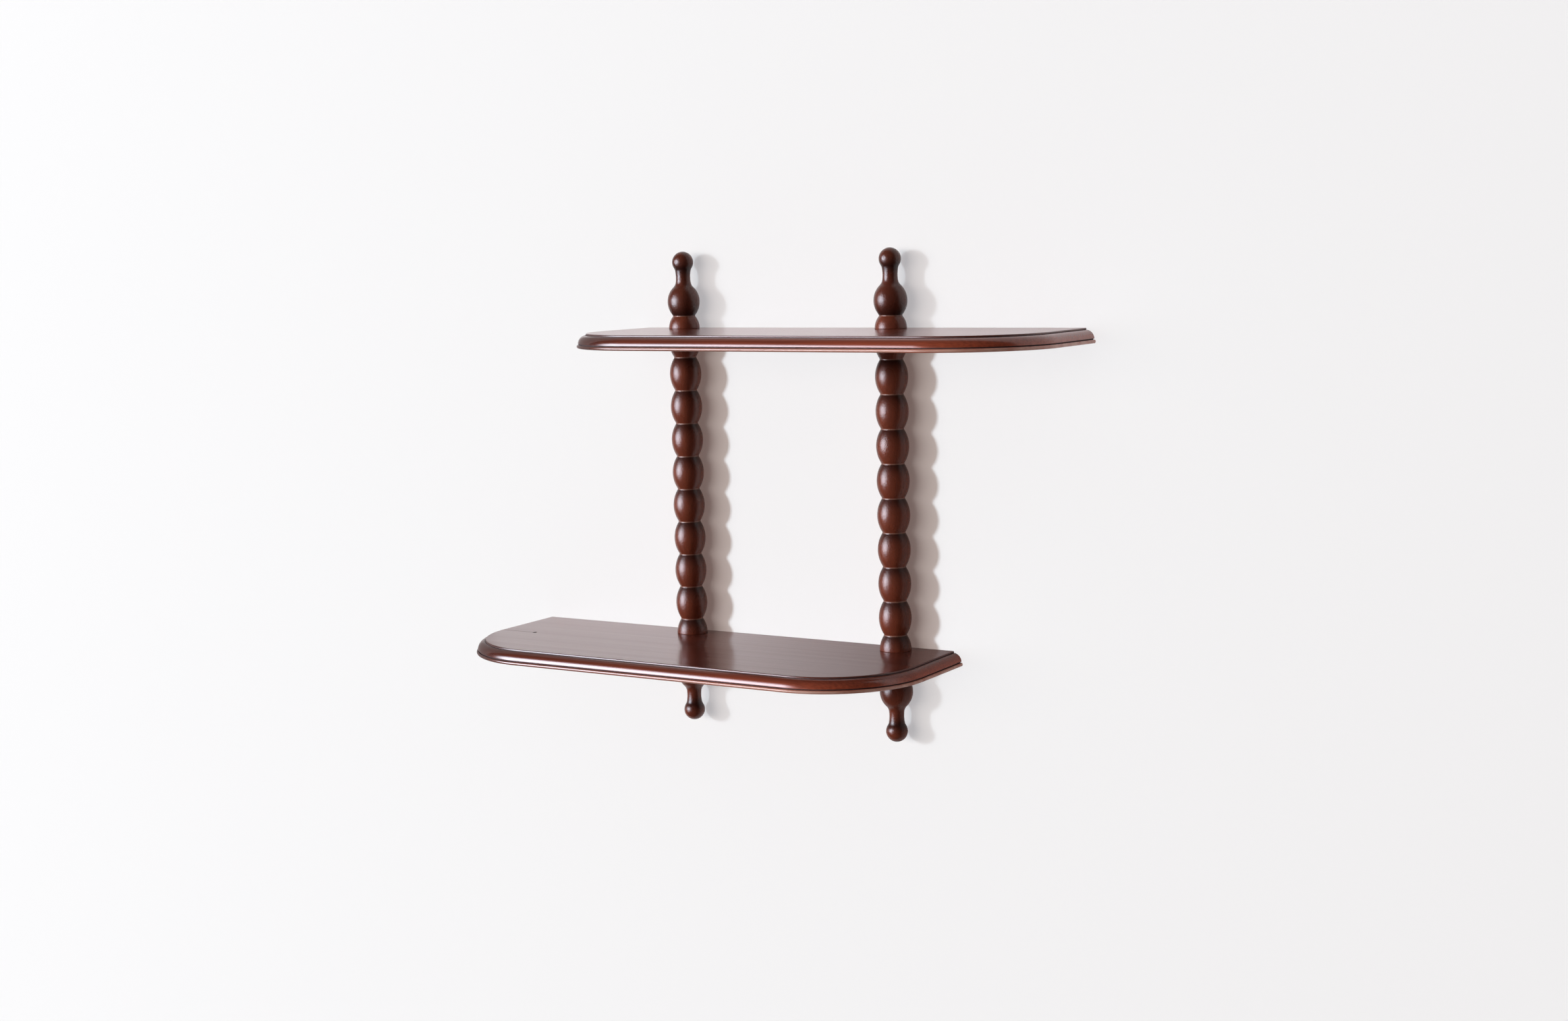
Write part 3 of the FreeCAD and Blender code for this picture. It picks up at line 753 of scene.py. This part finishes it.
# %% Outline of a post
WAIST_RADIUS = 13
WAIST_EASE = 1.6
COLLAR_RADIUS = 18.6
COLLAR_EASE = 0.5
BOBBIN_COUNT = 8
BOBBIN_PITCH = 40
BOBBIN_RISE = 6
POST_COLLAR = 18
STUD_BORE = (4.15, 31)
POST_LENGTH = 2 * POST_COLLAR + BOBBIN_COUNT * BOBBIN_PITCH
collar_rise = COLLAR_RADIUS - WAIST_RADIUS
half_bobbin = bowed_radius(2 * POST_COLLAR, collar_rise)
full_bobbin = bowed_radius(BOBBIN_PITCH, BOBBIN_RISE)

bore, bore_depth = STUD_BORE
post_corners = [
    Corner(0, bore_depth),
    Corner(bore, bore_depth),
    Corner(bore, 0),
    Corner(COLLAR_RADIUS, 0, COLLAR_EASE, half_bobbin, SWELL),
]
for index in range(BOBBIN_COUNT):
    waist = POST_COLLAR + index * BOBBIN_PITCH
    post_corners.append(Corner(WAIST_RADIUS, waist, WAIST_EASE, full_bobbin, SWELL))
post_corners += [
    Corner(WAIST_RADIUS, POST_LENGTH - POST_COLLAR, WAIST_EASE, half_bobbin, SWELL),
    Corner(COLLAR_RADIUS, POST_LENGTH, COLLAR_EASE),
    Corner(bore, POST_LENGTH),
    Corner(bore, POST_LENGTH - bore_depth),
    Corner(0, POST_LENGTH - bore_depth),
]
post_outline = outline(post_corners)
post_waists = [Vector(corner[:2]) for corner in post_corners if corner.across == WAIST_RADIUS]
print("a post has", len(post_waists), "waists and", len(post_outline), "points in its outline")

# %% Outline of a finial
FINIAL_HEIGHT = 92
FINIAL_COLLAR = 15
BULB = (19.4, 32)
NECK_FOOT = (9.6, 51.5)
NECK_HEAD_RADIUS = 9.7
NECK_SINK = 1
BALL_RADIUS = 12.75
INSERT_BORE = (6.1, 18.1)
SHOULDER_EASE = 4
THROAT_EASE = 1.85
ball_seat = FINIAL_HEIGHT - BALL_RADIUS - math.sqrt(BALL_RADIUS ** 2 - NECK_HEAD_RADIUS ** 2)
bulb_radius, bulb_height = BULB
neck_radius, neck_height = NECK_FOOT
bore, bore_depth = INSERT_BORE

finial_outline = outline([
    Corner(0, bore_depth),
    Corner(bore, bore_depth),
    Corner(bore, 0),
    Corner(COLLAR_RADIUS, 0, COLLAR_EASE, bowed_radius(2 * FINIAL_COLLAR, collar_rise), SWELL),
    Corner(WAIST_RADIUS, FINIAL_COLLAR, WAIST_EASE,
           bowed_radius(2 * (bulb_height - FINIAL_COLLAR), bulb_radius - WAIST_RADIUS), SWELL),
    Corner(bulb_radius, bulb_height, 0,
           bowed_radius(2 * (neck_height - bulb_height), bulb_radius - neck_radius), SWELL),
    Corner(neck_radius, neck_height, SHOULDER_EASE, bowed_radius(ball_seat - neck_height, NECK_SINK), SINK),
    Corner(NECK_HEAD_RADIUS, ball_seat, THROAT_EASE, BALL_RADIUS, SWELL),
    Corner(0, FINIAL_HEIGHT),
])
finial_waists = [Vector((WAIST_RADIUS, FINIAL_COLLAR))]
finial_throats = [Vector((NECK_HEAD_RADIUS, ball_seat))]
print(len(finial_outline), "points in a finial's outline")

# %% Turn the posts and finials
ROUTE_RADIUS = 10
FACETS = 96
# painted shade at each waist and throat, and how far it reaches
WAIST_SHADE = 0.85
CLEAR_REACH = 0.6
SHADE_REACH = 12
THROAT_REACH = 7
# a pale line painted in each waist as a highlight
HIGHLIGHT_LINE = 0.6
LINE_REACH = 0.7
# the share of a darker tone painted on the finials
FINIAL_DEPTH = {"top": 0.47, "bottom": 0.1}
# the painted shade spreads down from a post's waists, and up from a finial's waist over its bulb
post = {"points": post_outline, "waists": post_waists, "throats": [], "reaches": (CLEAR_REACH, SHADE_REACH)}
finial = {"points": finial_outline, "waists": finial_waists, "throats": finial_throats,
          "reaches": (SHADE_REACH, CLEAR_REACH)}


def turned_mesh(name, upside_down, depth, points, waists, throats, reaches):
    """The outline spun round the axis of the CAD node, foot down or foot up, with its marks."""
    low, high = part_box(name)
    axis = Vector(((low.x + high.x) / 2, (low.y + high.y) / 2))
    foot = high.z if upside_down else low.z
    # the tree hangs a section's second axis down from the route
    hang = 1 if upside_down else -1
    section = line_object("section", [((point.x - ROUTE_RADIUS) * MM, hang * point.y * MM)
                                      for point in points])
    stock = new_object("stock", bpy.data.meshes.new("stock"))
    mesh = run_tree(lathe, stock, section=section, weld=WELD, finish=turned_wood, axis=(*axis, foot),
                    route_radius=ROUTE_RADIUS * MM, facets=FACETS)
    clear_away(section, stock)
    # each point's place in the outline again, for the marks
    places = [Vector(((vertex.co.to_2d() - axis).length, hang * (foot - vertex.co.z))) / MM
              for vertex in mesh.vertices]
    # a painted highlight line in each waist, painted shade round it, and a darker tone beyond a finial's
    # waist
    highlight_lines = [nearness(place, waists, LINE_REACH, LINE_REACH) for place in places]
    shades = [max([nearness(place, waists, *reaches)]
                  + [nearness(place, [spot], THROAT_REACH, THROAT_REACH) for spot in throats])
              for place in places]
    mark(mesh, "wear_and_highlight", [HIGHLIGHT_LINE * line for line in highlight_lines])
    mark(mesh, "hollow", [WAIST_SHADE * shaded * (1 - line) for shaded, line in zip(shades, highlight_lines)])
    mark(mesh, "deep", [depth * (place.y > waists[0].y) for place in places])
    return mesh


for side in ("left", "right"):
    name = side + "_post"
    wooden(name, turned_mesh(name, upside_down=False, depth=0, **post), turned_wood)
    for level in ("top", "bottom"):
        name = f"{side}_{level}_finial"
        mesh = turned_mesh(name, upside_down=level == "bottom", depth=FINIAL_DEPTH[level], **finial)
        wooden(name, mesh, turned_wood)

# %% [markdown]
# ## Hardware
#
# The studs, screws and keyhole plates are zinc-plated steel, dull grey with the faint patchwork of the
# plating, and the threaded inserts are turned brass with fine rings from the tool. They sit inside or behind
# the wood and their solids are right as they are, so these nodes keep their CAD meshes and get a finish.

# %% Zinc and brass
METAL_GLOSS_DRIFT = 0.1
METAL_DETAIL = 3


def metal(name, dark, light, roughness, patch):
    """A metal whose tone and gloss drift together, in patches of a size in mm along each axis."""
    material, tree, shader = new_material(name)
    place = add(tree, "ShaderNodeTexCoord")
    scaled = add(tree, "ShaderNodeMapping", {"Vector": place.outputs["Object"],
                                             "Scale": [1 / (size * MM) for size in patch]})
    drift = add(tree, "ShaderNodeTexNoise", {"Vector": scaled.outputs["Vector"], "Scale": 1,
                                             "Detail": METAL_DETAIL})
    tone = add(tree, "ShaderNodeMix", {SHARE: drift.outputs["Fac"], UNDER: linear(dark), OVER: linear(light)},
               data_type="RGBA")
    gloss = add(tree, "ShaderNodeMapRange",
                {"Value": drift.outputs["Fac"], "To Min": roughness + METAL_GLOSS_DRIFT,
                 "To Max": roughness - METAL_GLOSS_DRIFT})
    tree.links.new(tone.outputs[MIXED], shader.inputs["Base Color"])
    tree.links.new(gloss.outputs["Result"], shader.inputs["Roughness"])
    shader.inputs["Metallic"].default_value = 1
    return material


# bright grey that never quite mirrors, in soft patches a few millimetres wide
zinc = metal("zinc_plated_steel", dark="#a9adb2", light="#d3d6d9", roughness=0.35,
             patch=(2.5, 2.5, 2.5))
# yellow metal with fine level rings, as the turning tool left it
brass = metal("turned_brass", dark="#b8934a", light="#e0bf78", roughness=0.3, patch=(10, 10, 1 / 3))
for name in ("joining_studs", "left_hanger_plate", "right_hanger_plate", "hanger_screws"):
    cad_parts[name].material_slots[0].material = zinc
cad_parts["finial_inserts"].material_slots[0].material = brass
print("finished", zinc.name, "and", brass.name)

# %% [markdown]
# ## Wall and floor
#
# The shelf hangs on a plain white wall. The camera sees it almost as bright as paper, with pale warm shadows,
# so the paint glows a little for the eye and for mirrors; a wall bright by lamps alone would have darker
# shadows. The boards' ends mirror dimmer parts of the room, and these are painted on the wall for mirror rays
# only: a spot low on the right, and what lies left of a slanting line. Seen from behind, the wall is clear,
# so that the shelf's back can be looked at. The floor is far below and is kept out of mirrors and bounced
# light.

# %% Pale paint
PAINT = "#f4f4f4"
PAINT_ROUGHNESS = 0.9
ROOM_TINT = "#ffd8cc"
GLOW_SHARE = 0.14


def pale_paint(name):
    """Matt white paint that glows a little for the eye and for mirrors, so that shadows on it stay pale."""
    material, tree, shader = new_material(name)
    shader.inputs["Base Color"].default_value = linear(PAINT)
    shader.inputs["Roughness"].default_value = PAINT_ROUGHNESS
    shader.inputs["Specular IOR Level"].default_value = 0
    ray = add(tree, "ShaderNodeLightPath")
    seen = add(tree, "ShaderNodeMath", {0: ray.outputs["Is Camera Ray"], 1: ray.outputs["Is Glossy Ray"]},
               operation="MAXIMUM")
    share = add(tree, "ShaderNodeMath", {0: seen.outputs["Value"], 1: GLOW_SHARE}, operation="MULTIPLY")
    glow = add(tree, "ShaderNodeEmission", {"Color": linear(ROOM_TINT), "Strength": 1})
    skin = add(tree, "ShaderNodeMixShader", {0: share.outputs["Value"], 1: shader.outputs["BSDF"],
                                             2: glow.outputs["Emission"]})
    tree.links.new(skin.outputs["Shader"], tree.nodes["Material Output"].inputs["Surface"])
    return material


floor_paint = pale_paint("pale_floor_paint")
print(floor_paint.name, "has", len(floor_paint.node_tree.nodes), "nodes")

# %% Paint of the wall
DIM_SPOT = (0.3, 0, -0.36)
DIM_REACH = (0.05, 0.45)
MIRROR_LEVEL = (0.15, 0.95)
LEFT_SLANT = (1, 0, -0.39)
LEFT_LIMITS = (-0.42, -0.33)
LEFT_LEVEL = 0.3


def wall_paint():
    """Paint that is dimmer in mirrors, in a spot and left of a line, and clear when looked at from behind."""
    material = pale_paint("pale_wall_paint")
    tree = material.node_tree
    place = add(tree, "ShaderNodeTexCoord")
    away = add(tree, "ShaderNodeVectorMath", {0: place.outputs["Object"], 1: DIM_SPOT}, operation="DISTANCE")
    mirrored = add(tree, "ShaderNodeMapRange",
                   {"Value": away.outputs["Value"], "From Min": DIM_REACH[0], "From Max": DIM_REACH[1],
                    "To Min": MIRROR_LEVEL[0], "To Max": MIRROR_LEVEL[1]})
    across = add(tree, "ShaderNodeVectorMath", {0: place.outputs["Object"], 1: LEFT_SLANT},
                 operation="DOT_PRODUCT")
    left = add(tree, "ShaderNodeMapRange",
               {"Value": across.outputs["Value"], "From Min": LEFT_LIMITS[0], "From Max": LEFT_LIMITS[1],
                "To Min": LEFT_LEVEL, "To Max": 1})
    level = add(tree, "ShaderNodeMath", {0: mirrored.outputs["Result"], 1: left.outputs["Result"]},
                operation="MULTIPLY")
    in_mirrors = tree.nodes["Light Path"].outputs["Is Glossy Ray"]
    paint = add(tree, "ShaderNodeMix",
                {SHARE: in_mirrors, UNDER: linear(PAINT), OVER: level.outputs["Value"]}, data_type="RGBA")
    tree.links.new(paint.outputs[MIXED], tree.nodes["Principled BSDF"].inputs["Base Color"])
    side = add(tree, "ShaderNodeNewGeometry")
    clear = add(tree, "ShaderNodeBsdfTransparent")
    skin = tree.nodes["Mix Shader"]
    one_sided = add(tree, "ShaderNodeMixShader", {0: side.outputs["Backfacing"], 1: skin.outputs["Shader"],
                                                  2: clear.outputs["BSDF"]})
    tree.links.new(one_sided.outputs["Shader"], tree.nodes["Material Output"].inputs["Surface"])
    return material


one_sided_paint = wall_paint()
print(one_sided_paint.name, "has", len(one_sided_paint.node_tree.nodes), "nodes")

# %% Wall and floor
# the wall stands a hair in front of the shelf's back, so that the two don't share a plane
WALL_LINE = -0.0002
WALL_REACH = 4
FLOOR_LEVEL = -1.4


def sheet_object(name, start, end, material):
    """One flat stage sheet between two opposite corners."""
    corners = [start, (end[0], *start[1:]), end, (start[0], *end[1:])]
    mesh = bpy.data.meshes.new(name)
    mesh.from_pydata(corners, [], [range(len(corners))])
    mesh.materials.append(material)
    sheet = new_object(name, mesh)
    return sheet


wall = sheet_object("wall", (-WALL_REACH, WALL_LINE, FLOOR_LEVEL), (WALL_REACH, WALL_LINE, WALL_REACH),
                    one_sided_paint)
floor = sheet_object("floor", (-WALL_REACH, -WALL_REACH, FLOOR_LEVEL), (WALL_REACH, WALL_REACH, FLOOR_LEVEL),
                     floor_paint)
floor.visible_glossy = False
floor.visible_diffuse = False
print("wall faces", tuple(wall.data.polygons[0].normal))

# %% [markdown]
# ## Lamps
#
# The light comes low from the left: the posts throw soft shadows to the right, hardly longer than they are
# thick. A lamp far away keeps the wall even, and a wide warm fill from nearer the middle lifts the shadows.
# In the photograph the boards throw almost no shadow on the wall and the finials pale ones, so each lamp has
# copies, told apart by light linking. One shines on the shelf, with all the shelf's own shadows. Another
# shines on the room, where only the turned pieces stop it, and a third copy of the low lamp, which also
# shines on the room, goes past the finials as well.

# %% Placing and grouping
shelf_middle = (cad_low + cad_high) / 2


def stand(thing, azimuth, rise, distance):
    """Stands a thing so far away, turned left of straight out from the wall and raised, facing the shelf."""
    turn = Matrix.Rotation(-math.radians(azimuth), 3, "Z") @ Matrix.Rotation(-math.radians(rise), 3, "X")
    toward = turn @ Vector((0, -1, 0))
    thing.location = shelf_middle + toward * distance
    thing.rotation_euler = toward.to_track_quat("Z", "Y").to_euler()
    print(thing.name, "stands at", [round(value, 1) for value in thing.location])


def together(name, things):
    """A collection that says what a lamp shines on or what stops its light."""
    group = bpy.data.collections.new(name)
    for thing in things:
        group.objects.link(thing)
    return group


print("lamps and window face", [round(value, 2) for value in shelf_middle])

# %% Lamps
DAYLIGHT = "#e6f6ff"
LAMPLIGHT = "#fff3ea"
LAMP_DISTANCE = 24
LOW_LAMP = {"azimuth": 45, "rise": 8, "size": (1.8, 2.8), "tint": DAYLIGHT}
FILL_LAMP = {"azimuth": 25, "rise": 6, "size": (27, 7.6), "tint": LAMPLIGHT}
LOW_LIGHT = 3.6
LOW_LIGHT_ON_WALL = 2.9
PAST_FINIALS = 0.65
FILL_LIGHT = 0.95
FILL_LIGHT_ON_WALL = 1.58


def soft_lamp(name, light, shines_on, stopped_by, azimuth, rise, size, tint):
    """An area lamp far away; light is what a sheet that faces it receives."""
    data = bpy.data.lights.new(name, "AREA")
    data.shape = "RECTANGLE"
    data.size, data.size_y = size
    data.energy = light * math.pi * LAMP_DISTANCE ** 2
    data.color = linear(tint)[:3]
    lamp = new_object(name, data)
    lamp.visible_glossy = False
    lamp.light_linking.receiver_collection = shines_on
    lamp.light_linking.blocker_collection = stopped_by
    stand(lamp, azimuth, rise, LAMP_DISTANCE)


shelf = together("shelf", [*pieces.values(), *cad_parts.values()])
room = together("room", [wall, floor])
posts = together("posts", [pieces[name] for name in pieces if name.endswith("post")])
turned = together("turned", [pieces[name] for name in pieces if name.endswith(("post", "finial"))])
soft_lamp("low_light", LOW_LIGHT, shelf, None, **LOW_LAMP)
soft_lamp("low_light_on_wall", LOW_LIGHT_ON_WALL * (1 - PAST_FINIALS), room, turned, **LOW_LAMP)
soft_lamp("low_light_past_finials", LOW_LIGHT_ON_WALL * PAST_FINIALS, room, posts, **LOW_LAMP)
soft_lamp("fill_light", FILL_LIGHT, shelf, None, **FILL_LAMP)
soft_lamp("fill_light_on_wall", FILL_LIGHT_ON_WALL, room, turned, **FILL_LAMP)

# %% [markdown]
# ## The window in the lacquer
#
# The bright lines on edges and bobbins are mirror images of a large window. It is a sheet that glows, fading
# toward its borders so that its image has soft ends, and it shows in mirrors only: the lamps light the wood.

# %% Window
WINDOW_AZIMUTH = 42
WINDOW_RISE = 5
WINDOW_DISTANCE = 6
WINDOW_HALF = (3.6, 3.2)
WINDOW_GLEAM = 26
WINDOW_CORE = 0.2
WINDOW_TINT = "#e0f0ff"
wide, tall = WINDOW_HALF

pane, tree = empty_material("window_pane")
place = add(tree, "ShaderNodeTexCoord")
spread = add(tree, "ShaderNodeMapping", {"Vector": place.outputs["Object"], "Scale": (1 / wide, 1 / tall, 1)})
away = add(tree, "ShaderNodeVectorMath", {0: spread.outputs["Vector"]}, operation="LENGTH")
level = add(tree, "ShaderNodeMapRange",
            {"Value": away.outputs["Value"], "From Min": WINDOW_CORE, "From Max": 1,
             "To Min": WINDOW_GLEAM, "To Max": 0}, interpolation_type="SMOOTHSTEP")
glow = add(tree, "ShaderNodeEmission", {"Color": linear(WINDOW_TINT), "Strength": level.outputs["Result"]})
clear = add(tree, "ShaderNodeBsdfTransparent")
both = add(tree, "ShaderNodeAddShader", {0: glow.outputs["Emission"], 1: clear.outputs["BSDF"]})
add(tree, "ShaderNodeOutputMaterial", {"Surface": both.outputs["Shader"]})
window = sheet_object("window", (-wide, -tall, 0), (wide, tall, 0), pane)
window.visible_camera = False
window.visible_diffuse = False
window.visible_shadow = False
stand(window, WINDOW_AZIMUTH, WINDOW_RISE, WINDOW_DISTANCE)

# %% [markdown]
# ## The rest of the room
#
# The sky stands for the rest of the room: dim in mirrors, so that the lacquer stays dark between its bright
# lines, a little brighter for bounced light, white for the eye, and bright behind the wall for back views.

# %% Sky
ROOM_LIGHT = 0.04
SOFT_ROOM_LIGHT = 0.12
LIGHT_BEHIND = 0.9
HORIZON = 0.05
sky = bpy.data.worlds.new("sky")
scene.world = sky
sky.use_nodes = True
tree = sky.node_tree
tree.nodes.clear()
toward = add(tree, "ShaderNodeTexCoord")
parts = add(tree, "ShaderNodeSeparateXYZ", {0: toward.outputs["Generated"]})
ray = add(tree, "ShaderNodeLightPath")
in_front = add(tree, "ShaderNodeMapRange", {"Value": ray.outputs["Is Diffuse Ray"], "To Min": ROOM_LIGHT,
                                            "To Max": SOFT_ROOM_LIGHT})
level = add(tree, "ShaderNodeMapRange",
            {"Value": parts.outputs["Y"], "From Min": -HORIZON, "From Max": HORIZON,
             "To Min": in_front.outputs["Result"], "To Max": LIGHT_BEHIND})
strength = add(tree, "ShaderNodeMath", {0: level.outputs["Result"], 1: ray.outputs["Is Camera Ray"]},
               operation="MAXIMUM")
glow = add(tree, "ShaderNodeBackground", {"Color": (1, 1, 1, 1), "Strength": strength.outputs["Value"]})
add(tree, "ShaderNodeOutputWorld", {"Surface": glow.outputs["Background"]})
print("room light", ROOM_LIGHT, "and light behind the wall", LIGHT_BEHIND)

# %% [markdown]
# ## Camera
#
# The camera stands to the right of the shelf, a little above the upper board, and looks left and slightly
# down. Its place, turn and lens were fitted to the corners and finials of the shelf in the photograph.

# %% Place the camera
CAMERA_PLACE = Vector((1.2925, -2.1963, 0.1061))
YAW, PITCH, ROLL = (math.radians(angle) for angle in (30.841, 7.004, -1.243))
FOCAL_PIXELS = 3257.7
IMAGE_WIDTH = 2380
SENSOR_WIDTH = 36

look = (Matrix.Rotation(YAW, 4, "Z") @ Matrix.Rotation(math.pi / 2 - PITCH, 4, "X")
        @ Matrix.Rotation(ROLL, 4, "Z"))
eye = bpy.data.cameras.new("camera")
eye.sensor_width = SENSOR_WIDTH
eye.lens = FOCAL_PIXELS * SENSOR_WIDTH / IMAGE_WIDTH
camera = new_object("camera", eye)
camera.matrix_world = Matrix.Translation(CAMERA_PLACE) @ look
scene.camera = camera
scene.view_settings.view_transform = "Standard"
print("lens:", round(eye.lens, 2), "mm")
